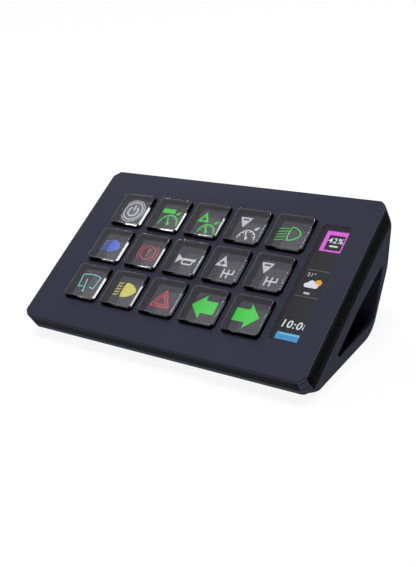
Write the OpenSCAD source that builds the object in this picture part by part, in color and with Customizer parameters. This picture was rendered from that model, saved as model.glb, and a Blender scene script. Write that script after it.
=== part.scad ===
// Keypad with 15 clear keys over one screen, on a fixed wedge stand.
// Millimetres, +Z up, +X right, front edge towards -Y.
// Pieces of the slab are drawn in face coordinates: X across, Y up the slope
// from the front edge, Z out of the face. on_face() leans them back.

/* [Slab] */
// Width of the body, left to right
body_w = 130.5; // [124:0.5:160]
// Height of the face, measured up its slope
body_h = 79.2; // [76:0.2:96]
// Thickness of the slab at its edge
slab_t = 8.2; // [8:0.1:9.4]
// Depth of the seam between middle frame and rear housing
seam_d = 5.4; // [5:0.1:5.8]
// Flat cut across each corner
corner_cut = 2.8; // [1.8:0.1:3.4]
// Thickness of the front panel
panel_t = 1.6; // [1.4:0.1:1.8]
// Chamfer round the front panel
panel_edge = 0.5; // [0.2:0.1:0.8]
// Side walls of frame and housing
wall = 2.2; // [2:0.1:2.4]
// Width and depth of the shadow seams
seam = 0.3; // [0.2:0.05:0.4]

/* [Keys] */
// Distance between key centres
key_pitch = 19; // [15.5:0.25:19.5]
// Bar of panel left between two key openings
key_bar = 2.6; // [2.2:0.1:3.2]
// Gap all round a cap in its opening
key_gap = 0.3; // [0.2:0.05:0.4]
// Corner radius of a key opening
key_corner = 1.6; // [1:0.1:2.2]
// Height of a cap above the face
key_proud = 1.9; // [1.4:0.1:2.4]
// Travel of a key
key_travel = 1.2; // [0.8:0.1:1.2]
// Chamfer round a cap's top
key_edge = 0.3; // [0.2:0.05:0.6]
// Chamfer under a cap's rear edge
key_heel = 1; // [0.4:0.1:1.2]
// Shift of the key field left of the middle
key_shift = 4.15; // [2:0.05:5]

/* [Info strip] */
// Width of the strip window
strip_w = 11.2; // [9:0.1:12]
// Length of the strip window
strip_h = 51.1; // [44:0.1:54]
// Bar of panel between the last key opening and the strip
strip_bar = 2.95; // [2.4:0.05:3.2]

/* [Stand] */
// Lean of the face from the table
tilt = 27.7; // [25:0.5:30]
// Height of the slab's lower front edge above the base
toe = 0.8; // [0.4:0.1:1.4]
// Distance up the face at which base and back would meet
stand_reach = 41.36; // [38:0.5:46]
// How far the back bends outwards of a straight line
back_bulge = 3.3; // [2.4:0.1:4]
// Radius between base and back
heel_r = 12; // [8:0.5:14]
// Thickness of the base under the tunnel
base_t = 4.3; // [3.6:0.1:5]
// Thickness of the back behind the tunnel
back_t = 2.1; // [1.7:0.1:2.8]
// Thickness of the deck between electronics and tunnel
deck_t = 1.8; // [1.5:0.1:2.2]
// Droop of the rear part of the deck
deck_droop = 6.5; // [4:0.5:8]
// Radius of the tunnel's narrow corners
tunnel_r = 1.1; // [0.8:0.1:1.5]
// Radius of the tunnel's rear lower corner
tunnel_heel_r = 6.5; // [4:0.5:8]

/* [Base pad] */
// Length of the pad, left to right
pad_w = 104; // [80:1:112]
// Depth of the pad, front to back
pad_d = 30; // [24:0.5:31]
// Thickness of the pad
pad_t = 0.9; // [0.8:0.1:1.4]
// Part of the thickness that stands out of the base
pad_proud = 0.5; // [0.4:0.05:0.7]

/* [Screen and boards] */
// Thickness of the silicone sheet
mat_t = 0.5; // [0.4:0.05:0.6]
// Thickness of the key board
key_board_t = 0.6; // [0.5:0.1:0.6]
// Thickness of the screen glass
glass_t = 1.4; // [1.2:0.1:1.5]
// Thickness of the backlight behind the glass
light_t = 1.2; // [1:0.1:1.3]
// Thickness of the main board
main_board_t = 1; // [0.8:0.1:1.2]
// Space between the screen and the main board
chip_room = 1.6; // [1.5:0.1:1.8]
// Width of the main board
main_board_w = 72; // [66:1:80]

/* [Fasteners] */
// Radius of a housing screw's shank
screw_r = 1; // [0.8:0.05:1.05]
// Radius of a housing screw's head
screw_head_r = 1.7; // [1.5:0.05:1.75]
// Radius of a board screw's shank
board_screw_r = 0.8; // [0.7:0.05:0.9]

/* [Hidden] */
cols = 5;
rows = 3;
seat = 0.03;        // play between pieces that rest on each other
fit = 0.15;         // play between pieces that plug into each other
cut = 1;            // how far a cutter runs past a face
eps = 0.02;         // thickness of the plates that shape a chamfered slab
nip = 0.003;        // what an arc reaches past the lines it rounds, so that they cross

// --- stack behind the face, as depths below it ---
tab_top = -panel_t - seat;
tab_low = tab_top - 0.8;
cap_low = tab_low - 0.2;
mat_top = tab_low - seat;
sheet_top = mat_top - key_travel - 0.3;
board_top = sheet_top - mat_t - seat;
board_low = board_top - key_board_t;
glass_top = board_low - seat;
glass_low = glass_top - glass_t;
light_low = glass_low - seat - light_t;
main_top = light_low - chip_room;
main_low = main_top - main_board_t;
floor_d = main_low - 1;          // inner floor of the electronics room
deck_d = floor_d - deck_t;       // roof of the tunnel

// --- keys and window on the face ---
key_open = key_pitch - key_bar;
cap_w = key_open - 2 * key_gap;
cap_tab_w = key_pitch - 1.6;      // over both tabs
cap_tab_l = cap_w - 5;
view_w = cap_w + 0.6;            // window under a cap
view_cut = 0.9;
mid_y = body_h / 2;
strip_x = key_x(cols) + key_open / 2 + strip_bar + strip_w / 2;
function key_x(c) = -key_shift + (c - (cols + 1) / 2) * key_pitch;
function key_y(r) = mid_y - (r - (rows + 1) / 2) * key_pitch;

// --- screen ---
screen_x0 = key_x(1) - key_open / 2 - 6.4;
screen_x1 = strip_x + strip_w / 2 + 3;
screen_h = (rows - 1) * key_pitch + key_open + 9.6;
ledge_w = 3.4;                   // strip of rear glass that carries the ribbon
tray_wall = 0.3;
flex_t = 0.15;
flex_w = 20;
flex_r = (glass_top - glass_t / 2 + flex_t - (light_low - 0.5)) / 2;
key_flex_w = 10;
key_flex_x = screen_x1 + 1.7;
bend_r = 0.8;

// --- screws ---
screw_y = [4.5, body_h - 4.5];
screw_x = [-50, 0, 50];
screw_seat = -6.9;
screw_top = -2.5;
screw_head_h = 1.2;
boss_r = 2.7;
pillar_r = 2;
board_holes = [for (s = [-1, 1]) each [[s * (main_board_w / 2 - 12), 35],
    [s * (main_board_w / 2 - 5), 64]]];
board_screw_end = floor_d - 0.9;
board_screw_head_r = 1.5;
board_screw_head_h = 0.8;
post_x = [screen_x0 + 8, screen_x1 - 8];
post_y = [mid_y - 16.6, mid_y + 19.4];
stub_r = 1.2;
peg_r = 0.7;
peg_x = [key_x(1) + key_pitch / 2, key_x(4) + key_pitch / 2];
peg_y = [key_y(3) + key_pitch / 2, key_y(2) + key_pitch / 2];

// --- main board and socket ---
main_y0 = 32;
main_y1 = 69.1;
usb_w = 8.94;
usb_h = 3.26;
usb_len = 7.3;
usb_mouth = main_y1 + 1.5;
usb_z = main_low - seat - usb_h / 2;
recess_w = 12.6;
recess_h = 6.4;
recess_wall = 0.9;

// --- side outline of the stand, as [up the face, out of the face] ---
function unit(a) = a / norm(a);
function left_of(d) = [-d[1], d[0]];
function meet(p, d, q, e) =
    p + d * (((q[0] - p[0]) * e[1] - (q[1] - p[1]) * e[0]) / (d[0] * e[1] - d[1] * e[0]));
function base_z(y) = -(slab_t + toe / cos(tilt)) - y * tan(tilt);
base_dir = [cos(tilt), -sin(tilt)];
base_in = [sin(tilt), cos(tilt)];
toe_flat = 1.5;
toe_dir = unit([1, -1]);
toe_start = [toe_flat, -slab_t];
toe_end = meet(toe_start, toe_dir, [0, base_z(0)], base_dir);
heel = [stand_reach, base_z(stand_reach)];
back_top = [body_h - 2.5, -slab_t];
chord = unit(back_top - heel);
bend = heel + chord * (0.6 * norm(back_top - heel)) - left_of(chord) * back_bulge;
low_dir = unit(bend - heel);
top_dir = unit(back_top - bend);
low_turn = atan2(low_dir[1], low_dir[0]);

// tunnel
tunnel_back_dir = [cos(low_turn + 8.2), sin(low_turn + 8.2)];
tunnel_back = heel + low_dir * 12 + left_of(low_dir) * back_t;
base_line = [0, base_z(0)] + base_in * base_t;
deck_bend = 40;
deck_dir = [cos(deck_droop), -sin(deck_droop)];
tunnel_front = meet([0, deck_d], [1, 0], base_line, base_dir);
tunnel_top = meet([deck_bend, deck_d], deck_dir, tunnel_back, tunnel_back_dir);
tunnel_heel = meet(tunnel_back, tunnel_back_dir, base_line, base_dir);

// electronics room
shell_line = [0, base_z(0)] + base_in * wall;
nose_line = toe_start + [1, 1] * (wall / sqrt(2));
nose_low = meet(nose_line, toe_dir, shell_line, base_dir);
well_low = shell_line + base_dir * ((tunnel_front[0] - 2.2 - shell_line[0]) / base_dir[0]);
back_line = bend + left_of(top_dir) * wall;
room_back = meet([deck_bend, floor_d], deck_dir, back_line, top_dir);
sill = -(slab_t - 1.8);

face_y = -(body_h * cos(tilt) + slab_t * sin(tilt)) / 2;
face_z = pad_proud + toe + slab_t * cos(tilt);

// ---------- helpers ----------

module on_face() translate([0, face_y, face_z]) rotate([tilt, 0, 0]) children();

// Outline of the slab with cut corners, drawn in by d.
module plan(d) {
    x = body_w / 2 - d;
    y0 = d;
    y1 = body_h - d;
    c = corner_cut - d * (2 - sqrt(2));
    polygon([[-x + c, y0], [x - c, y0], [x, y0 + c], [x, y1 - c],
        [x - c, y1], [-x + c, y1], [-x, y1 - c], [-x, y0 + c]]);
}

// Square of side w with cut corners.
module cut_square(w, c) {
    h = w / 2;
    polygon([[-h + c, -h], [h - c, -h], [h, -h + c], [h, h - c],
        [h - c, h], [-h + c, h], [-h, h - c], [-h, -h + c]]);
}

// Rectangle w by h with round corners.
module round_rect(w, h, r) {
    square([w, h - 2 * r], center = true);
    square([w - 2 * r, h], center = true);
    for (x = [-1, 1], y = [-1, 1])
        translate([x * (w / 2 - r), y * (h / 2 - r)]) circle(r);
}

// Flat-sided polygon whose corners carry true arcs of the radii rs.
module round_poly(ps, rs) {
    n = len(ps);
    us = [for (i = [0:n - 1]) unit(ps[(i + n - 1) % n] - ps[i])];
    vs = [for (i = [0:n - 1]) unit(ps[(i + 1) % n] - ps[i])];
    half = [for (i = [0:n - 1]) acos(us[i] * vs[i]) / 2];
    far = [for (i = [0:n - 1]) rs[i] / tan(half[i])];
    polygon([for (i = [0:n - 1], k = [0, 1]) ps[i] + (k == 0 ? us[i] : vs[i]) * far[i]]);
    for (i = [0:n - 1]) if (rs[i] > 0) {
        mid = ps[i] + unit(us[i] + vs[i]) * (rs[i] / sin(half[i]));
        intersection() {
            translate(mid) circle(rs[i] + nip);
            polygon([ps[i] + us[i] * far[i], ps[i], ps[i] + vs[i] * far[i], mid]);
        }
    }
}

// Slab from depth z0 down to z1 with the outline given as a child.
module layer(z0, z1) translate([0, 0, z1]) linear_extrude(z0 - z1) children();

// Side outline pulled through the width.
module across(w) rotate([90, 0, 90]) translate([0, 0, -w / 2]) linear_extrude(w) children();

// Shape in [across, out of the face] pulled up the slope from y0 to y1.
module along(y0, y1) translate([0, y1, 0]) rotate([90, 0, 0]) linear_extrude(y1 - y0) children();

module peg(x, y, r, z0, z1) translate([x, y, z1]) cylinder(r = r, h = z0 - z1);

module at_screws() for (x = screw_x, y = screw_y) translate([x, y, 0]) children();

// ---------- shown pieces ----------

// Face plate: chamfered edge, 15 openings, strip window, rim and pillars behind.
module front_panel() color([0.25, 0.25, 0.31]) on_face() difference() {
    union() {
        hull() {
            layer(0, -eps) plan(panel_edge);
            layer(-panel_edge, -panel_edge - eps) plan(0);
        }
        layer(-panel_edge, -panel_t) plan(0);
        difference() {
            layer(-panel_t + eps, -panel_t - 1.6) plan(wall + fit);
            layer(0, -seam_d) plan(wall + fit + 1.2);
        }
        at_screws() peg(0, 0, pillar_r, -panel_t + eps, -seam_d + seat);
        for (x = peg_x, y = peg_y) {
            peg(x, y, stub_r, -panel_t + eps, board_top + seat);
            peg(x, y, peg_r, -panel_t + eps, board_low + seat);
        }
    }
    for (c = [1:cols], r = [1:rows])
        translate([key_x(c), key_y(r), 0])
            layer(cut, -panel_t - cut) round_rect(key_open, key_open, key_corner);
    translate([strip_x, mid_y, 0])
        layer(cut, -panel_t - cut) round_rect(strip_w, strip_h, 0.8);
    at_screws() peg(0, 0, screw_r + 0.02, -screw_head_h - cut, -seam_d - cut);
}

// Dark band between panel and housing, stepped in at both seams.
module mid_frame() color([0.12, 0.12, 0.14]) on_face() difference() {
    union() {
        layer(-panel_t - seat, -panel_t - seam - seat) plan(seam);
        layer(-panel_t - seam - seat, -seam_d + seam + seat) plan(0);
        layer(-seam_d + seam + seat, -seam_d + seat) plan(seam);
    }
    layer(0, -slab_t) plan(wall);
}

module stand_outline() round_poly(
    [[0, -seam_d], [0, -slab_t], toe_start, toe_end, heel, bend, back_top,
        [body_h, -slab_t], [body_h, -seam_d]],
    [0, 0.7, 0, 3, heel_r, 15, 0, 0.7, 0]);

module tunnel_outline() round_poly(
    [tunnel_front, tunnel_heel, tunnel_top, [deck_bend, deck_d]],
    [tunnel_r, tunnel_heel_r, tunnel_r, 0]);

module room_outline() polygon([[wall, 0], [wall, nose_line[1] + nose_line[0] - wall],
    nose_low, well_low, [tunnel_front[0] + 0.2, floor_d], [deck_bend, floor_d], room_back,
    meet(back_line, top_dir, [0, sill], [1, 0]), [body_h - wall, sill], [body_h - wall, 0]]);

// Lower rim of the slab, deck, tunnel and base, all moulded in one.
module rear_housing() color([0.27, 0.27, 0.33]) on_face() difference() {
    union() {
        difference() {
            intersection() {
                across(body_w) stand_outline();
                layer(-seam_d, -4 * slab_t) plan(0);
            }
            intersection() {
                across(body_w) room_outline();
                layer(cut, -4 * slab_t) plan(wall);
            }
        }
        difference() {
            layer(-seam_d + 1, -seam_d - 1) plan(wall + fit);
            layer(0, -slab_t) plan(wall + fit + 1);
            at_screws() peg(0, 0, pillar_r + 0.5, 0, -seam_d - seat);
        }
        intersection() {
            across(body_w) stand_outline();
            union() {
                at_screws() peg(0, 0, boss_r, -seam_d - seat, -4 * slab_t);
                along(usb_mouth + 0.1 - recess_wall, body_h)
                    translate([0, usb_z])
                    round_rect(recess_w + 2 * recess_wall, recess_h + 2 * recess_wall, 2.6);
            }
        }
        for (x = post_x) {
            peg(x, post_y[0], 2.2, light_low - seat, floor_d - 1);
            peg(x, post_y[1], 2.2, light_low - seat, floor_d - 2.5);
        }
        for (p = board_holes)
            peg(p[0], p[1], 2, main_low - seat, floor_d - (p[1] > deck_bend ? 3 : 1));
    }
    across(body_w + 2 * cut) tunnel_outline();
    at_screws() {
        peg(0, 0, screw_r + 0.15, 0, -slab_t);
        peg(0, 0, screw_head_r + 0.15, screw_seat, -4 * slab_t);
    }
    for (p = board_holes) peg(p[0], p[1], board_screw_r + 0.02, 0, board_screw_end - 0.2);
    along(usb_mouth - usb_len, body_h) translate([0, usb_z])
        round_rect(usb_w + 0.3, usb_h + 0.3, 1.3);
    along(usb_mouth + 0.1, body_h) translate([0, usb_z])
        round_rect(recess_w, recess_h, 2);
    pad_recess();
}

// Seat of the pad, level with the table although the housing is drawn leaning.
module pad_recess() rotate([-tilt, 0, 0]) translate([0, -face_y, -face_z])
    translate([0, pad_y, pad_proud - cut])
    linear_extrude(pad_t - pad_proud + cut + 0.02) round_rect(pad_w + 0.2, pad_d + 0.2, 3.1);

pad_y = face_y + (toe_end[0] + heel[0]) / 2 * cos(tilt)
    - (toe_end[1] + heel[1]) / 2 * sin(tilt) - 3;

// Flush lens of the info strip, with a flange glued behind the panel.
module strip_window() color([0.2, 0.2, 0.22, 0.5]) on_face() translate([strip_x, mid_y, 0]) {
    layer(-seat, -panel_t - seat) round_rect(strip_w - 0.1, strip_h - 0.1, 0.75);
    layer(-panel_t - seat, tab_low) round_rect(strip_w + 1.8, strip_h + 1.8, 1);
}

// Side view of a cap's block with its chamfered top; heel cuts the lower corner at its right.
module cap_side(heel) {
    h = cap_w / 2;
    polygon([[-h, cap_low], [h - heel, cap_low], [h, cap_low + heel],
        [h, key_proud - key_edge], [h - key_edge, key_proud],
        [-h + key_edge, key_proud], [-h, key_proud - key_edge]]);
}

// Clear cap: a deep block that stands proud, with a retaining tab on either side.
module key_cap() color([0.8, 0.82, 0.85, 0.35]) {
    intersection() {
        layer(key_proud, cap_low) round_rect(cap_w, cap_w, key_corner - key_gap);
        rotate([0, 0, 90]) across(cap_w + 2) cap_side(0.1);
        across(cap_w + 2) cap_side(key_heel);
    }
    layer(tab_top, tab_low) square([cap_tab_w, cap_tab_l], center = true);
}

module key_cap_at(r, c) on_face() translate([key_x(c), key_y(r), 0]) key_cap();

// ---------- inside ----------

// Silicone sheet with a stepped collar under each cap's tabs.
module key_mat() color([0.08, 0.08, 0.09]) on_face() {
    x0 = key_x(1) - key_pitch / 2 - 2.5;
    x1 = key_x(cols) + key_pitch / 2 - 0.3;
    h = rows * key_pitch + 4;
    step = (sheet_top + mat_top) / 2;
    difference() {
        layer(sheet_top, sheet_top - mat_t)
            translate([x0, mid_y - h / 2]) square([x1 - x0, h]);
        for (c = [1:cols], r = [1:rows]) translate([key_x(c), key_y(r), 0])
            layer(0, board_low) cut_square(view_w, view_cut);
        for (x = peg_x, y = peg_y) peg(x, y, stub_r + 0.1, 0, board_low);
    }
    for (c = [1:cols], r = [1:rows]) translate([key_x(c), key_y(r), 0]) {
        layer(step + 0.1, sheet_top - mat_t / 2) collar(view_w + 1.2);
        layer(mat_top, step) collar(view_w + 0.8);
    }
}

// Wall round a window, w wide over its outside.
module collar(w) difference() {
    cut_square(w, view_cut + 0.1);
    cut_square(view_w, view_cut);
}

// Circuit board with a window at each key and at the strip.
module key_board() color([0.05, 0.2, 0.12]) on_face() difference() {
    x = body_w / 2 - wall - fit - 1.2 - 0.5;
    layer(board_top, board_low)
        translate([-x, mid_y - screen_h / 2]) square([2 * x, screen_h]);
    for (c = [1:cols], r = [1:rows]) translate([key_x(c), key_y(r), 0])
        layer(0, glass_low) cut_square(view_w + 0.1, view_cut);
    translate([strip_x, mid_y, 0])
        layer(0, glass_low) square([strip_w + 0.4, strip_h + 0.4], center = true);
    for (x = peg_x, y = peg_y) peg(x, y, peg_r + 0.08, 0, glass_low);
}

// Screen: front glass, and a longer rear glass whose ledge takes the ribbon.
module display_panel() color([0.1, 0.1, 0.12]) on_face() {
    y = mid_y - screen_h / 2 + tray_wall + fit;
    h = screen_h - 2 * (tray_wall + fit);
    x = screen_x0 + tray_wall + fit;
    w = screen_x1 - screen_x0 - 2 * (tray_wall + fit);
    layer(glass_top, glass_top - glass_t / 2) translate([x + ledge_w, y]) square([w - ledge_w, h]);
    layer(glass_top - glass_t / 2, glass_low) translate([x, y]) square([w, h]);
}

// Shallow metal tray with the backlight, open on the left for the ribbon.
module display_tray() color([0.75, 0.76, 0.78]) on_face() difference() {
    y0 = mid_y - screen_h / 2;
    rim = glass_top - glass_t / 2;
    layer(rim, light_low)
        translate([screen_x0, y0]) square([screen_x1 - screen_x0, screen_h]);
    layer(0, glass_low - seat) translate([screen_x0 + tray_wall, y0 + tray_wall])
        square([screen_x1 - screen_x0 - 2 * tray_wall, screen_h - 2 * tray_wall]);
    translate([screen_x0 - cut, mid_y - flex_w / 2 - 1, glass_low - seat])
        cube([cut + 2, flex_w + 2, glass_t + cut]);
}

// Half or quarter of a bent ribbon, seen along the slope.
module ribbon_arc(r, x0, x1, z0, z1) intersection() {
    difference() {
        circle(r);
        circle(r - flex_t);
    }
    translate([x0, z0]) square([x1 - x0, z1 - z0]);
}

// Ribbon from the screen's ledge, round its edge, to the main board.
module display_flex() color([0.75, 0.45, 0.12]) on_face()
    along(mid_y - flex_w / 2, mid_y + flex_w / 2) {
        top = glass_top - glass_t / 2 + flex_t + seat;
        mid_z = top - flex_r;
        x = screen_x0 - 1.3;
        translate([x, top - flex_t])
            square([ledge_w + 1.3 + tray_wall - 0.4, flex_t]);
        translate([x, mid_z]) ribbon_arc(flex_r, -flex_r, 0, -flex_r, flex_r);
        translate([x, mid_z - flex_r])
            square([-main_board_w / 2 + 0.7 - 0.05 - x, flex_t]);
    }

// Ribbon from the key board's right edge, round the screen, to the main board.
module key_flex() color([0.75, 0.45, 0.12]) on_face()
    along(mid_y - key_flex_w / 2, mid_y + key_flex_w / 2) {
        low = light_low - 0.5;
        top = board_low - seat;
        x = key_flex_x;
        translate([screen_x1 + 0.2, top - flex_t]) square([x - bend_r - screen_x1 - 0.2, flex_t]);
        translate([x - bend_r, top - bend_r]) ribbon_arc(bend_r, 0, bend_r, 0, bend_r);
        translate([x - flex_t, low + bend_r]) square([flex_t, top - low - 2 * bend_r]);
        translate([x - bend_r, low + bend_r]) ribbon_arc(bend_r, 0, bend_r, -bend_r, 0);
        translate([main_board_w / 2 - 0.7 + 0.05, low])
            square([x - bend_r - main_board_w / 2 + 0.7 - 0.05, flex_t]);
    }

module main_board() color([0.05, 0.22, 0.14]) on_face() difference() {
    layer(main_top, main_low) translate([-main_board_w / 2, main_y0])
        square([main_board_w, main_y1 - main_y0]);
    for (p = board_holes) peg(p[0], p[1], board_screw_r + 0.1, 0, floor_d);
}

// One chip of size [x, y, height], centred at p, on the main board.
module chip(p, s) translate([p[0] - s[0] / 2, p[1] - s[1] / 2, main_top + seat]) cube(s);

module main_chips() color([0.1, 0.1, 0.11]) on_face() {
    chip([-6, 48], [10, 10, 1]);
    chip([10, 47], [6, 5, 0.9]);
    chip([10, 57], [5, 4, 0.9]);
    chip([-20, 56], [4, 4, 0.9]);
    chip([-20, 44], [3, 3, 1]);
    chip([21, 52], [3, 3, 1]);
    chip([0, 62], [3.2, 2.5, 0.8]);
}

// Sockets that the two ribbons plug into.
module flex_sockets() color([0.85, 0.83, 0.76]) on_face() {
    for (s = [[-1, flex_w + 2], [1, key_flex_w + 2]])
        chip([s[0] * (main_board_w / 2 - 2.5), mid_y], [3.6, s[1], 1.25]);
}

// Metal shell of the inlet with its tongue, under the main board's rear edge.
module usb_socket() color([0.7, 0.7, 0.72]) on_face() {
    difference() {
        along(usb_mouth - usb_len, usb_mouth) translate([0, usb_z])
            round_rect(usb_w, usb_h, 1.15);
        along(usb_mouth - usb_len + 1, usb_mouth + cut) translate([0, usb_z])
            round_rect(usb_w - 0.6, usb_h - 0.6, 0.9);
    }
    along(usb_mouth - usb_len + 0.5, usb_mouth - 0.9) translate([0, usb_z])
        square([6.7, 0.7], center = true);
}

module board_screws() color([0.6, 0.6, 0.62]) on_face()
    for (p = board_holes) {
        peg(p[0], p[1], board_screw_head_r, main_top + board_screw_head_h + seat, main_top + seat);
        peg(p[0], p[1], board_screw_r, main_top + 2 * seat, board_screw_end);
    }

module housing_screws() color([0.2, 0.2, 0.22]) on_face() at_screws() difference() {
    union() {
        peg(0, 0, screw_head_r, screw_seat - seat, screw_seat - seat - screw_head_h);
        peg(0, 0, screw_r, screw_top, screw_seat - 2 * seat);
    }
    translate([0, 0, screw_seat - seat - screw_head_h - cut])
        cylinder(r = 0.8, h = cut + 0.7, $fn = 6);
}

// Anti-slip pad, the only piece that touches the table.
module base_pad() color([0.1, 0.1, 0.1]) translate([0, pad_y, 0])
    linear_extrude(pad_t) round_rect(pad_w, pad_d, 3);

front_panel();
mid_frame();
rear_housing();
strip_window();
key_cap_at(1, 1);  // key_cap_r1c1
key_cap_at(1, 2);  // key_cap_r1c2
key_cap_at(1, 3);  // key_cap_r1c3
key_cap_at(1, 4);  // key_cap_r1c4
key_cap_at(1, 5);  // key_cap_r1c5
key_cap_at(2, 1);  // key_cap_r2c1
key_cap_at(2, 2);  // key_cap_r2c2
key_cap_at(2, 3);  // key_cap_r2c3
key_cap_at(2, 4);  // key_cap_r2c4
key_cap_at(2, 5);  // key_cap_r2c5
key_cap_at(3, 1);  // key_cap_r3c1
key_cap_at(3, 2);  // key_cap_r3c2
key_cap_at(3, 3);  // key_cap_r3c3
key_cap_at(3, 4);  // key_cap_r3c4
key_cap_at(3, 5);  // key_cap_r3c5
key_mat();
key_board();
display_panel();
display_tray();
display_flex();
key_flex();
main_board();
main_chips();
flex_sockets();
usb_socket();
board_screws();
housing_screws();
base_pad();
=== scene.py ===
"""Looks of a desk keypad: fifteen clear keys over one screen, an info strip and a wedge stand.

Sizes of the slab and its keys are millimetres in face coordinates: X across, Y up the slope
from the front edge, Z out of the face. Face.matrix leans them back and turns them to metres.
"""

import logging
import math
from dataclasses import dataclass, field
from enum import Enum, IntEnum
from typing import Iterable, Optional, Sequence

import bmesh
import bpy
from mathutils import Matrix, Vector


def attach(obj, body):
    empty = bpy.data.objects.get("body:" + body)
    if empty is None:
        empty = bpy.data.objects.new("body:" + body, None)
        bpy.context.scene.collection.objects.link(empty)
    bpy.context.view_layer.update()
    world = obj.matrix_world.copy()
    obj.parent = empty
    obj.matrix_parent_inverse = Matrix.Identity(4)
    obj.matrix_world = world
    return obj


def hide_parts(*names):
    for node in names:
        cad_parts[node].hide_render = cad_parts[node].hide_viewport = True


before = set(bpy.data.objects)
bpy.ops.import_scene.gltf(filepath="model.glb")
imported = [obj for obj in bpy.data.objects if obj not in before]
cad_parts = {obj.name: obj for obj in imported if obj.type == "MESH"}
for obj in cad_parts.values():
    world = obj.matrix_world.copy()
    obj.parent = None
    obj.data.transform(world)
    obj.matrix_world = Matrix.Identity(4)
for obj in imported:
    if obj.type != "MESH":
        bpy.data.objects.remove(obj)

log = logging.getLogger("keypad")
Point = tuple[float, float]
Colour = tuple[float, float, float]


def linear(red: int, green: int, blue: int) -> Colour:
    """Colour in 8-bit display values turned to scene-linear.

    Args:
        red, green, blue: display values from 0 to 255.

    Returns:
        The scene-linear colour.
    """
    def one(v: int) -> float:
        """One channel."""
        c = v / 255
        return c / 12.92 if c <= 0.04045 else ((c + 0.055) / 1.055) ** 2.4

    return one(red), one(green), one(blue)


# ---------------------------------------------------------------- the face's frame


@dataclass(frozen=True)
class Face:
    """Lean and place of the slab's face."""

    tilt: float = 27.7
    height: float = 79.2
    thickness: float = 8.2
    lift: float = 1.3

    def matrix(self) -> Matrix:
        """Leans the face back and brings it to its place.

        Returns:
            What turns millimetres on the face into metres in the row frame.
        """
        lean = math.radians(self.tilt)
        y = -(self.height * math.cos(lean) + self.thickness * math.sin(lean)) / 2
        z = self.lift + self.thickness * math.cos(lean)
        return (Matrix.Scale(0.001, 4) @ Matrix.Translation((0, y, z))
                @ Matrix.Rotation(lean, 4, "X"))


FACE = Face()


@dataclass(frozen=True)
class Zone:
    """A painted block of the face's frame: u from the middle, v up the slope, w out of the face."""

    colour: Colour
    u: tuple[float, float] = (0, 70)
    v: tuple[float, float] = (-1, 90)
    w: tuple[float, float] = (-9, 1)


# ---------------------------------------------------------------- finishes


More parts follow.
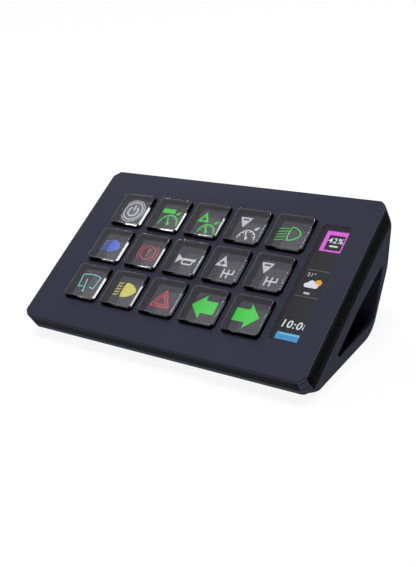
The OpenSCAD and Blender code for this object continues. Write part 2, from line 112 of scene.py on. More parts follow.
class Shader:
    """A material under construction: a Principled shader and short ways to feed it."""

    def __init__(self, name: str, base: Colour, rough: float) -> None:
        """Starts a material.

        Args:
            name: name of the material.
            base: scene-linear base colour.
            rough: mean roughness.
        """
        self.material = bpy.data.materials.new(name)
        self.material.use_nodes = True
        self.tree = self.material.node_tree
        self.bsdf = self.tree.nodes["Principled BSDF"]
        self.set(Base_Color=(*base, 1), Roughness=rough)
        self.base = base
        self.coords = self.node("ShaderNodeTexCoord").outputs["Object"]

    def node(self, kind: str, **values: "float | tuple | Vector") -> bpy.types.Node:
        """Adds a node.

        Args:
            kind: Blender's name of the node's type.
            values: input sockets by name, with underscores for spaces.

        Returns:
            The new node.
        """
        made = self.tree.nodes.new(kind)
        for key, value in values.items():
            made.inputs[key.replace("_", " ")].default_value = value
        return made

    def set(self, **values: "float | tuple[float, ...]") -> None:
        """Sets the shader's own sockets, by name with underscores for spaces."""
        for key, value in values.items():
            self.bsdf.inputs[key.replace("_", " ")].default_value = value

    def link(self, out: bpy.types.NodeSocket, to: bpy.types.NodeSocket) -> None:
        """Joins two sockets."""
        self.tree.links.new(out, to)

    def noise(self, scale: float, detail: float = 2, rough: float = 0.5) -> bpy.types.NodeSocket:
        """Noise on object coordinates.

        Args:
            scale: spots to a metre.
            detail: octaves.
            rough: strength of the finer octaves.

        Returns:
            The noise value socket.
        """
        made = self.node("ShaderNodeTexNoise", Scale=scale, Detail=detail, Roughness=rough)
        self.link(self.coords, made.inputs["Vector"])
        return made.outputs["Fac"]

    def ramp(self, fac: bpy.types.NodeSocket, low: float, high: float,
             start: float = 0.3, end: float = 0.7) -> bpy.types.NodeSocket:
        """Maps a value from start..end to low..high.

        Args:
            fac: value to map.
            low, high: result at start and at end.
            start, end: where the slope begins and ends.

        Returns:
            The mapped value socket.
        """
        made = self.node("ShaderNodeMapRange")
        for key, value in (("From Min", start), ("From Max", end),
                           ("To Min", low), ("To Max", high)):
            made.inputs[key].default_value = value
        self.link(fac, made.inputs["Value"])
        return made.outputs["Result"]

    def tint(self, fac: bpy.types.NodeSocket, low: float, high: float) -> None:
        """Multiplies the base colour by a value that varies with fac.

        Args:
            fac: noise value.
            low, high: factors at the ends of the noise.
        """
        mix = self.node("ShaderNodeMix")
        mix.data_type = "RGBA"
        mix.inputs[6].default_value = (*(c * low for c in self.base), 1)
        mix.inputs[7].default_value = (*(c * high for c in self.base), 1)
        self.link(self.ramp(fac, 0, 1), mix.inputs[0])
        self.link(mix.outputs[2], self.bsdf.inputs["Base Color"])

    def zone(self, zone: Zone) -> None:
        """Paints a block of the face's frame over the colour so far, on both sides of the middle.

        Args:
            zone: the block and its colour.
        """
        back = FACE.matrix().inverted()
        turn = self.node("ShaderNodeMapping", Location=back.translation, Rotation=back.to_euler(),
                         Scale=back.to_scale())
        self.link(self.coords, turn.inputs["Vector"])
        axes = self.node("ShaderNodeSeparateXYZ")
        self.link(turn.outputs["Vector"], axes.inputs["Vector"])
        away = self.math("ABSOLUTE", axes.outputs["X"])
        inside = None
        for place, (low, high) in ((away, zone.u), (axes.outputs["Y"], zone.v),
                                   (axes.outputs["Z"], zone.w)):
            for step in (self.math("GREATER_THAN", place, low),
                         self.math("LESS_THAN", place, high)):
                inside = self.math("MULTIPLY", step, inside) if inside else step
        self.cover(inside, zone.colour)

    def math(self, operation: str, a: bpy.types.NodeSocket,
             b: "bpy.types.NodeSocket | float | None" = None) -> bpy.types.NodeSocket:
        """One operation on values.

        Args:
            operation: Blender's name of the operation.
            a: first value.
            b: second value, a socket or a number.

        Returns:
            The result's socket.
        """
        made = self.node("ShaderNodeMath")
        made.operation = operation
        self.link(a, made.inputs[0])
        if isinstance(b, bpy.types.NodeSocket):
            self.link(b, made.inputs[1])
        elif b is not None:
            made.inputs[1].default_value = b
        return made.outputs[0]

    def cover(self, amount: bpy.types.NodeSocket, colour: Colour) -> None:
        """Covers the colour so far with another.

        Args:
            amount: where the other colour lies, from 0 to 1.
            colour: scene-linear colour there.
        """
        mix = self.node("ShaderNodeMix")
        mix.data_type = "RGBA"
        base = self.bsdf.inputs["Base Color"]
        if base.is_linked:
            self.link(base.links[0].from_socket, mix.inputs[6])
        else:
            mix.inputs[6].default_value = base.default_value
        mix.inputs[7].default_value = (*colour, 1)
        self.link(amount, mix.inputs[0])
        self.link(mix.outputs[2], base)

    def bump(self, height: bpy.types.NodeSocket, depth: float, edge: float = 0) -> None:
        """Bump from a height, over edges that are softened by a bevel.

        Args:
            height: height value socket.
            depth: depth of the bump, in metres.
            edge: radius of the softened edges, in metres, or 0 for none.
        """
        made = self.node("ShaderNodeBump", Strength=1.0, Distance=depth)
        self.link(height, made.inputs["Height"])
        if edge:
            soft = self.node("ShaderNodeBevel", Radius=edge)
            soft.samples = 4
            self.link(soft.outputs["Normal"], made.inputs["Normal"])
        self.link(made.outputs["Normal"], self.bsdf.inputs["Normal"])


@dataclass(frozen=True)
class Moulded:
    """Moulded plastic or rubber with a fine spark-eroded grain."""

    name: str
    colour: Colour
    rough: float = 0.5
    grain: float = 0.000012
    grain_scale: float = 2600.0
    edge: float = 0.00025
    specular: float = 0.5
    zones: tuple[Zone, ...] = ()

    def make(self) -> bpy.types.Material:
        """Builds the material.

        Returns:
            The new material.
        """
        s = Shader(self.name, self.colour, self.rough)
        s.set(Specular_IOR_Level=self.specular)
        cloud = s.noise(38, 3)
        s.tint(cloud, 0.95, 1.05)
        # the zones lay painted shade and painted highlights over the tone
        for zone in self.zones:
            s.zone(zone)
        grain = s.noise(self.grain_scale, 3, 0.6)
        s.link(s.ramp(grain, self.rough - 0.05, self.rough + 0.05), s.bsdf.inputs["Roughness"])
        s.bump(grain, self.grain, self.edge)
        return s.material


class Wall(Enum):
    """How the walls of a clear piece are finished."""

    CLEAR = "clear"
    SMOKED = "smoked, so that they darken at a slant"
    PAINTED = "painted black, apart from what is parallel to the face"


@dataclass(frozen=True)
class ClearResin:
    """Polished clear resin with the faintest ripple of moulding."""

    name: str
    tone: Colour = (0.97, 0.98, 0.985)
    wall: Wall = Wall.CLEAR
    gloss: Colour = (0.8, 0.76, 0.95)
    # a painted glow of the resin itself, though it is no lamp
    glow: float = 0.0
    index: float = 1.53
    ripple: float = 0.0000006
    glow_tone: Colour = (0.9, 0.93, 1)
    smoke: Colour = (0.002, 0.002, 0.002)

    def make(self) -> bpy.types.Material:
        """Builds the material.

        Returns:
            The new material.
        """
        s = Shader(self.name, self.tone, 0.0)
        s.set(IOR=self.index, Transmission_Weight=1, Specular_Tint=(*self.gloss, 1),
              Emission_Color=(*self.glow_tone, 1), Emission_Strength=self.glow)
        s.material.cycles.emission_sampling = "NONE"
        if self.wall is not Wall.CLEAR:
            dark = self.dark(s)
            s.set(Specular_IOR_Level=0)
            s.link(s.ramp(dark, 1, 0, 0, 1), s.bsdf.inputs["Transmission Weight"])
            s.cover(dark, self.smoke)
        s.bump(s.noise(260, 2), self.ripple)
        return s.material

    def dark(self, s: Shader) -> bpy.types.NodeSocket:
        """Where the walls are dark.

        Args:
            s: the shader.

        Returns:
            A value socket, 1 on dark walls.
        """
        if self.wall is Wall.SMOKED:
            slant = s.node("ShaderNodeLayerWeight", Blend=0.5).outputs["Facing"]
            return s.ramp(slant, 0, 1, 0.35, 0.45)
        level = s.node("ShaderNodeVectorMath")
        level.operation = "DOT_PRODUCT"
        s.link(s.node("ShaderNodeTexCoord").outputs["Normal"], level.inputs[0])
        level.inputs[1].default_value = FACE.matrix().to_3x3().normalized() @ Vector((0, 0, 1))
        return s.ramp(s.math("ABSOLUTE", level.outputs["Value"]), 1, 0, 0.3, 0.5)


@dataclass(frozen=True)
class ScreenGlass:
    """Front glass of the lit screen: near-black panel under a clear gloss, with its pixel grid."""

    name: str
    colour: Colour
    glow: float
    pitch: float = 0.0001

    def make(self) -> bpy.types.Material:
        """Builds the material.

        Returns:
            The new material.
        """
        s = Shader(self.name, self.colour, 0.08)
        s.set(Emission_Color=(*self.colour, 1))
        grid = s.node("ShaderNodeTexChecker", Scale=1 / self.pitch)
        s.link(s.coords, grid.inputs["Vector"])
        cloud = s.noise(60, 2)
        s.link(s.ramp(cloud, self.glow * 0.9, self.glow * 1.1), s.bsdf.inputs["Emission Strength"])
        s.tint(grid.outputs["Fac"], 0.9, 1.1)
        return s.material


@dataclass(frozen=True)
class Lit:
    """A lit patch of the screen's picture, with the slight unevenness of its backlight."""

    name: str
    colour: Colour
    glow: float = 1.0

    def make(self) -> bpy.types.Material:
        """Builds the material.

        Returns:
            The new material.
        """
        s = Shader(self.name, tuple(c * 0.2 for c in self.colour), 0.15)
        s.set(Emission_Color=(*self.colour, 1))
        s.link(s.ramp(s.noise(900, 2), self.glow * 0.88, self.glow * 1.08),
               s.bsdf.inputs["Emission Strength"])
        return s.material


@dataclass(frozen=True)
class SheetMetal:
    """Plain or turned metal with brushed lines along X."""

    name: str
    colour: Colour
    rough: float = 0.35
    lines: tuple[float, float, float] = (60, 4000, 4000)

    def make(self) -> bpy.types.Material:
        """Builds the material.

        Returns:
            The new material.
        """
        s = Shader(self.name, self.colour, self.rough)
        s.set(Metallic=1)
        place = s.node("ShaderNodeMapping", Scale=self.lines)
        s.link(s.coords, place.inputs["Vector"])
        lines = s.node("ShaderNodeTexNoise", Scale=1, Detail=2)
        s.link(place.outputs["Vector"], lines.inputs["Vector"])
        s.link(s.ramp(lines.outputs["Fac"], self.rough - 0.1, self.rough + 0.12),
               s.bsdf.inputs["Roughness"])
        s.bump(lines.outputs["Fac"], 0.000002)
        return s.material


SLATE = (0.045, 0.0465, 0.073)
# SHADE is painted shade: the dark colour of the band and of the panel's walls below its face
SHADE = (0.009, 0.009, 0.0125)
# painted shade on the slab's near-black sides, a painted highlight on the edge above them and painted
# light on the front corners
SIDE_SHADE = Zone((0.0003, 0.0003, 0.0016), u=(64.85, 70), w=(-9, -0.35))
EDGE_HIGHLIGHT = Zone((0.085, 0.088, 0.132), u=(64.78, 70), w=(-0.35, -0.03))
FRONT_CORNER_LIGHT = Zone((0.052, 0.051, 0.078), u=(62.4, 70), v=(-1, 2.95))
# painted shade on the panel's walls below its face, and on the rim behind the front edge
WALL_SHADE = Zone(SHADE, w=(-9, -0.55))
UNDER_SHADE = Zone((0.001, 0.001, 0.0022), v=(3.2, 90), w=(-8.3, 0))


class Paint(Enum):
    """Every finish on the keypad, by its place."""

    # slate, with painted shade on its walls and sides, a painted highlight on its edge and painted
    # light on its front corners
    PANEL = Moulded("slate_panel", SLATE, 0.42, specular=0.02,
                    zones=(WALL_SHADE, SIDE_SHADE, EDGE_HIGHLIGHT, FRONT_CORNER_LIGHT))
    # slate, with painted shade on the rim behind the front edge
    HOUSING = Moulded("slate_housing", SLATE, 0.42, specular=0.01, zones=(UNDER_SHADE,))
    # the band's dark colour is painted shade, with painted shade on its sides and painted light on
    # its front corners
    BAND = Moulded("dark_band", SHADE, 0.4, 0.000006, 3200, 0.00015, 0.006,
                   zones=(SIDE_SHADE, FRONT_CORNER_LIGHT))
    KEYCAP = ClearResin("clear_cap")
    # smoked rear and left cap walls, with a painted glow
    CAP_RIM = ClearResin("clear_cap_rim", wall=Wall.SMOKED, glow=0.055)
    # a painted highlight on the cap's front and right top edges
    CAP_EDGE = ClearResin("clear_cap_glint", glow=0.12)
    # painted shade: black on the cap's lower walls and its tabs
    SKIRT = Moulded("shade_skirt", linear(12, 12, 13), 0.5, 0.000001, 2400, 0, 0.04)
    LENS = ClearResin("strip_lens", (0.3, 0.3, 0.31), Wall.PAINTED, (0.6, 0.58, 0.63))
    SCREEN = ScreenGlass("screen_glass", (0.004, 0.004, 0.0045), 0.4)
    SILICONE = Moulded("black_silicone", linear(16, 16, 18), 0.7, 0.00002, 1800, 0)
    BOARD = Moulded("solder_mask", linear(16, 20, 20), 0.35, 0.000004, 900, 0)
    RIBBON = Moulded("amber_film", linear(172, 104, 38), 0.3, 0.000003, 600, 0)
    CHIP = Moulded("chip_black", linear(24, 24, 27), 0.5, 0.000008, 4000, 0)
    SOCKET = Moulded("ivory_socket", linear(214, 208, 192), 0.45, 0.000005, 3000, 0)
    TRAY = SheetMetal("tray_metal", linear(196, 198, 202), 0.32)
    STEEL = SheetMetal("screw_steel", linear(120, 121, 126), 0.34)
    INLET = SheetMetal("inlet_shell", linear(176, 177, 182), 0.26)
    PAD = Moulded("pad_rubber", linear(26, 26, 28), 0.8, 0.00003, 1500, 0)
    DIM = Lit("lit_dim", linear(84, 84, 90))
    WHITE = Lit("lit_white", linear(192, 191, 198))
    GREEN = Lit("lit_green", linear(10, 193, 13))
    BLUE = Lit("lit_blue", linear(38, 90, 198))
    RED = Lit("lit_red", linear(166, 34, 48))
    TEAL = Lit("lit_teal", linear(103, 190, 194))
    YELLOW = Lit("lit_yellow", linear(199, 193, 56))
    MAGENTA = Lit("lit_magenta", linear(226, 92, 222), 3.3)
    CLOUD = Lit("lit_cloud", linear(225, 227, 233), 3.2)
    SUN = Lit("lit_sun", linear(240, 168, 36), 3.2)
    SKY = Lit("lit_sky", linear(58, 146, 196), 3.2)
    GLEAM = Lit("lit_gleam", linear(122, 192, 226), 3.2)
    PALE = Lit("lit_pale", linear(190, 190, 196), 3.2)
    LINE = Lit("lit_line", linear(104, 104, 110), 3.2)

    def material(self) -> bpy.types.Material:
        """The finish's material, built on first use."""
        return bpy.data.materials.get(self.value.name) or self.value.make()


# ---------------------------------------------------------------- shaping

MERGE = 0.0005  # corners nearer than this are one, in millimetres
ON_CUT = 1e-5  # corners nearer to a cutting plane than this lie on it
SCREEN_TOP = -5.115  # underside of the pictures, just above the screen


def add(name: str, data: bpy.types.ID) -> bpy.types.Object:
    """Adds an object to the scene.

    Args:
        name: its name.
        data: its mesh, curve, lamp or camera.

    Returns:
        The new object.
    """
    made = bpy.data.objects.new(name, data)
    bpy.context.scene.collection.objects.link(made)
    return made


def mesh_of(name: str, bm: bmesh.types.BMesh) -> bpy.types.Mesh:
    """Turns a drawn mesh into one for an object.

    Args:
        name: name of the mesh.
        bm: the drawn mesh, which is freed.

    Returns:
        The new mesh.
    """
    mesh = bpy.data.meshes.new(name)
    bm.to_mesh(mesh)
    bm.free()
    return mesh


def soften(bm: bmesh.types.BMesh, edges: Iterable[bmesh.types.BMEdge], width: float) -> None:
    """Bevels edges with two segments.

    Args:
        bm: the mesh.
        edges: edges to bevel.
        width: width of the bevel.
    """
    bmesh.ops.bevel(bm, geom=list(edges), offset=width, segments=2, profile=0.5,
                    affect="EDGES", material=-1, clamp_overlap=True)


def piece(name: str, bm: bmesh.types.BMesh, paints: Sequence[Paint], body: str,
          smooth: Optional[float] = None) -> bpy.types.Object:
    """Finishes a mesh drawn on the face as a piece of the keypad.

    Args:
        name: name of the piece.
        bm: the mesh in face millimetres, which is freed.
        paints: its finishes, by the material index of its faces.
        body: body that it rides on.
        smooth: angle in degrees below which edges are shaded smooth, or None.

    Returns:
        The new object.
    """
    bmesh.ops.remove_doubles(bm, verts=bm.verts, dist=MERGE)
    bmesh.ops.recalc_face_normals(bm, faces=bm.faces)
    bm.transform(FACE.matrix())
    mesh = mesh_of(name, bm)
    for paint in paints:
        mesh.materials.append(paint.material())
    if smooth is not None:
        mesh.shade_smooth()
        mesh.set_sharp_from_angle(angle=math.radians(smooth))
    made = add(name, mesh)
    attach(made, body)
    log.info("%s: %d faces, rides on %s", name, len(mesh.polygons), body)
    return made


def rounded_square(bm: bmesh.types.BMesh, width: float, radius: float, z: float,
                   steps: int = 5) -> bmesh.types.BMFace:
    """Adds a square face with round corners.

    Args:
        bm: mesh to add to.
        width: side of the square.
        radius: corner radius.
        z: height.
        steps: segments to a corner.

    Returns:
        The face.
    """
    verts = bmesh.ops.create_grid(bm, x_segments=1, y_segments=1, size=width / 2,
                                  matrix=Matrix.Translation((0, 0, z)))["verts"]
    bmesh.ops.bevel(bm, geom=verts, offset=radius, segments=steps, profile=0.5,
                    affect="VERTICES", material=-1)
    return max(bm.faces, key=lambda f: f.calc_area())


def raise_face(bm: bmesh.types.BMesh, face: bmesh.types.BMFace,
               dz: float) -> bmesh.types.BMFace:
    """Extrudes a level face into a closed block.

    Args:
        bm: the mesh.
        face: face to extrude, which stays as the bottom.
        dz: height of the block.

    Returns:
        The top face.
    """
    made = bmesh.ops.extrude_face_region(bm, geom=[face])["geom"]
    top = next(g for g in made if isinstance(g, bmesh.types.BMFace))
    bmesh.ops.translate(bm, vec=(0, 0, dz), verts=top.verts)
    return top


class Drawing:
    """Flat strokes and fills of one colour, drawn in millimetres and made solid at the end."""

    bold = 0.014
    spacing = 1.14

    def __init__(self, at: Point, depth: float) -> None:
        """Starts a drawing.

        Args:
            at: origin on the face.
            depth: height of the drawing's underside.
        """
        self.bm = bmesh.new()
        self.at = at
        self.depth = depth

    def fill(self, points: Sequence[Point]) -> "Drawing":
        """Adds a filled outline.

        Args:
            points: corners in order.

        Returns:
            The drawing.
        """
        self.bm.faces.new([self.bm.verts.new((x, y, 0)) for x, y in points])
        return self

    def line(self, a: Point, b: Point, width: float) -> "Drawing":
        """Adds a straight stroke.

        Args:
            a, b: ends.
            width: width of the stroke.

        Returns:
            The drawing.
        """
        run = Vector(b) - Vector(a)
        turn = Matrix.Rotation(math.atan2(run.y, run.x), 4, "Z")
        middle = (Vector(a) + Vector(b)) / 2
        bmesh.ops.create_grid(self.bm, x_segments=1, y_segments=1, size=0.5,
                              matrix=Matrix.Translation(middle.to_3d()) @ turn
                              @ Matrix.Diagonal((run.length, width, 1, 1)))
        return self

    def path(self, points: Sequence[Point], width: float, closed: bool = False) -> "Drawing":
        """Adds a chain of strokes with round joints.

        Args:
            points: corners in order.
            width: width of the stroke.
            closed: whether the last corner joins the first.

        Returns:
            The drawing.
        """
        ends = list(points) + ([points[0]] if closed else [])
        for a, b in zip(ends, ends[1:]):
            self.line(a, b, width)
        for p in ends[: -1 if closed else None]:
            self.disc(p, width / 2, 10)
        return self

    def disc(self, centre: Point, radius: float, steps: int = 32) -> "Drawing":
        """Adds a filled circle.

        Args:
            centre: centre.
            radius: radius.
            steps: number of sides.

        Returns:
            The drawing.
        """
        bmesh.ops.create_circle(self.bm, cap_ends=True, segments=steps, radius=radius,
                                matrix=Matrix.Translation((*centre, 0)))
        return self

    def arc(self, centre: Point, radius: float, width: float, start: float = 0,
            turn: float = 360) -> "Drawing":
        """Adds a stroke along a circle.

        Args:
            centre: centre.
            radius: radius of the stroke's middle.
            width: width of the stroke.
            start: angle of its start in degrees, from +X.
            turn: angle that it covers, anticlockwise.

        Returns:
            The drawing.
        """
        way = Vector((math.cos(math.radians(start)), math.sin(math.radians(start)), 0))
        hub = Vector((*centre, 0))
        ends = [self.bm.verts.new(hub + way * (radius + s * width / 2)) for s in (-1, 1)]
        edge = self.bm.edges.new(ends)
        full = abs(turn) >= 360
        bmesh.ops.spin(self.bm, geom=[edge, *ends], cent=hub, axis=(0, 0, 1),
                       angle=math.radians(turn), steps=max(6, int(abs(turn) / 9)),
                       use_merge=full)
        return self

    def text(self, words: str, centre: Point, size: float, lean: float = 0) -> "Drawing":
        """Adds digits and plain signs.

        Args:
            words: what to write.
            centre: middle of the words.
            size: height of the letters' body.
            lean: shear to the right.

        Returns:
            The drawing.
        """
        curve = bpy.data.curves.new("words", "FONT")
        curve.body, curve.size, curve.shear = words, size, lean
        curve.align_x, curve.align_y = "CENTER", "CENTER"
        curve.offset = size * self.bold
        curve.space_character = self.spacing
        curve.resolution_u = 3
        holder = add("words", curve)
        bpy.context.view_layer.update()
        mesh = bpy.data.meshes.new_from_object(holder)
        mesh.transform(Matrix.Translation((*centre, 0)))
        self.bm.from_mesh(mesh)
        bpy.data.objects.remove(holder)
        bpy.data.curves.remove(curve)
        bpy.data.meshes.remove(mesh)
        return self

    def clip(self, low: Point, high: Point) -> "Drawing":
        """Cuts the drawing off outside a window.

        Args:
            low, high: corners of the window.

        Returns:
            The drawing.
        """
        for point, way in ((low, (-1, 0, 0)), (low, (0, -1, 0)),
                           (high, (1, 0, 0)), (high, (0, 1, 0))):
            bmesh.ops.bisect_plane(self.bm, geom=[*self.bm.verts, *self.bm.edges, *self.bm.faces],
                                   dist=ON_CUT, plane_co=(*point, 0), plane_no=way,
                                   clear_outer=True)
        return self

    def solid(self, name: str, paint: Paint, thick: float = 0.03) -> bpy.types.Object:
        """Gives the drawing a thickness and lays it on the screen.

        Args:
            name: name of the piece.
            paint: its finish.
            thick: its thickness.

        Returns:
            The new object.
        """
        bm = self.bm
        bmesh.ops.remove_doubles(bm, verts=bm.verts, dist=MERGE)
        for f in bm.faces:
            if f.normal.z < 0:
                f.normal_flip()
        made = bmesh.ops.extrude_face_region(bm, geom=list(bm.faces), use_keep_orig=True)["geom"]
        bmesh.ops.translate(bm, vec=(0, 0, thick),
                            verts=[g for g in made if isinstance(g, bmesh.types.BMVert)])
        bm.transform(Matrix.Translation((*self.at, self.depth)))
        return piece(name, bm, [paint], "housing")


# ---------------------------------------------------------------- keys


@dataclass
class KeyField:
    """Places of the keys on the face."""

    pitch: float = 19.0
    shift: float = 4.15
    middle: float = 39.6
    columns: int = 5
    rows: int = 3

    def centre(self, row: int, column: int) -> Point:
        """Centre of a key.

        Args:
            row: 1 at the back.
            column: 1 at the left.

        Returns:
            Its place on the face.
        """
        return (-self.shift + (column - (self.columns + 1) / 2) * self.pitch,
                self.middle - (row - (self.rows + 1) / 2) * self.pitch)

    def each(self) -> list[tuple[int, int]]:
        """Every row and column."""
        return [(r, c) for r in range(1, self.rows + 1) for c in range(1, self.columns + 1)]


class CapFace(IntEnum):
    """Finish of a cap's faces, by its place among the cap's materials."""

    CLEAR = 0
    SKIRT = 1
    RIM = 2
    EDGE = 3


@dataclass
class KeyCap:
    """Clear cap: a deep block with a black skirt of painted shade, a cut-back rear foot and two side
    tabs.
    """

    row: int
    column: int
    keys: KeyField
    low: float = -2.63
    proud: float = 1.9
    width: float = 15.4
    corner: float = 1.2
    edge: float = 0.12
    foot_edge: float = 0.1
    heel: float = 1.0
    shade_skirt_top: float = 0.5
    tab_reach: float = 0.98
    tab_length: float = 10.8
    tab_low: float = -2.43
    tab_top: float = -1.63
    tab_gap: float = 0.02

    def block(self, bm: bmesh.types.BMesh) -> None:
        """Adds the block with its softened edges and its rear heel.

        Args:
            bm: mesh to add to.
        """
        face = rounded_square(bm, self.width, self.corner, self.low)
        top = raise_face(bm, face, self.proud - self.low)
        soften(bm, top.edges, self.edge)
        made = bmesh.ops.bisect_plane(
            bm, geom=[*bm.verts, *bm.edges, *bm.faces], dist=ON_CUT, clear_outer=True,
            plane_co=(0, self.width / 2 - self.heel, self.low), plane_no=(0, 1, -1))
        rim = [g for g in made["geom_cut"] if isinstance(g, bmesh.types.BMEdge)]
        bmesh.ops.contextual_create(bm, geom=rim)
        bmesh.ops.recalc_face_normals(bm, faces=bm.faces)
        foot = [e for e in bm.edges if all(v.co.z < self.low + 1e-3 for v in e.verts)]
        soften(bm, foot, self.foot_edge)
        bmesh.ops.bisect_plane(bm, geom=[*bm.verts, *bm.edges, *bm.faces], dist=ON_CUT,
                               plane_co=(0, 0, self.shade_skirt_top), plane_no=(0, 0, 1))
        # black walls inside the panel as painted shade, smoked rear and left walls with a painted
        # glow, front and right edges bright with a painted highlight
        for f in bm.faces:
            f.normal_update()
            if f.calc_center_median().z < self.shade_skirt_top and f.normal.z > -0.9:
                f.material_index = CapFace.SKIRT
            elif f.normal.y - f.normal.x > 0.6 and abs(f.normal.z) < 0.3:
                f.material_index = CapFace.RIM
            elif 0.3 < f.normal.z < 0.95 and f.normal.x - f.normal.y > 0.3:
                f.material_index = CapFace.EDGE

    def tabs(self, bm: bmesh.types.BMesh) -> None:
        """Adds the retaining tabs at the block's sides.

        Args:
            bm: mesh to add to.
        """
        for side in (-1, 1):
            x = side * (self.width / 2 + self.tab_gap + self.tab_reach / 2)
            z = (self.tab_low + self.tab_top) / 2
            size = (self.tab_reach, self.tab_length, self.tab_top - self.tab_low, 1)
            made = bmesh.ops.create_cube(bm, size=1, matrix=Matrix.Translation((x, 0, z))
                                         @ Matrix.Diagonal(size))["verts"]
            edges = {e for v in made for e in v.link_edges}
            for f in {f for v in made for f in v.link_faces}:
                f.material_index = CapFace.SKIRT
            soften(bm, edges, self.foot_edge)

    def build(self) -> bpy.types.Object:
        """Builds the cap.

        Returns:
            The cap's object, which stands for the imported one.
        """
        bm = bmesh.new()
        self.block(bm)
        self.tabs(bm)
        bmesh.ops.translate(bm, vec=(*self.keys.centre(self.row, self.column), 0), verts=bm.verts)
        place = f"r{self.row}c{self.column}"
        finish = {CapFace.CLEAR: Paint.KEYCAP, CapFace.SKIRT: Paint.SKIRT,
                  CapFace.RIM: Paint.CAP_RIM, CapFace.EDGE: Paint.CAP_EDGE}
        paints = [finish[face] for face in CapFace]
        made = piece(f"cap_{place}", bm, paints, f"key_{place}", 35)
        flat = made.modifiers.new("flat_faces", "WEIGHTED_NORMAL")
        flat.mode, flat.weight, flat.keep_sharp = "FACE_AREA", 100, True
        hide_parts(f"key_cap_{place}")
        return made


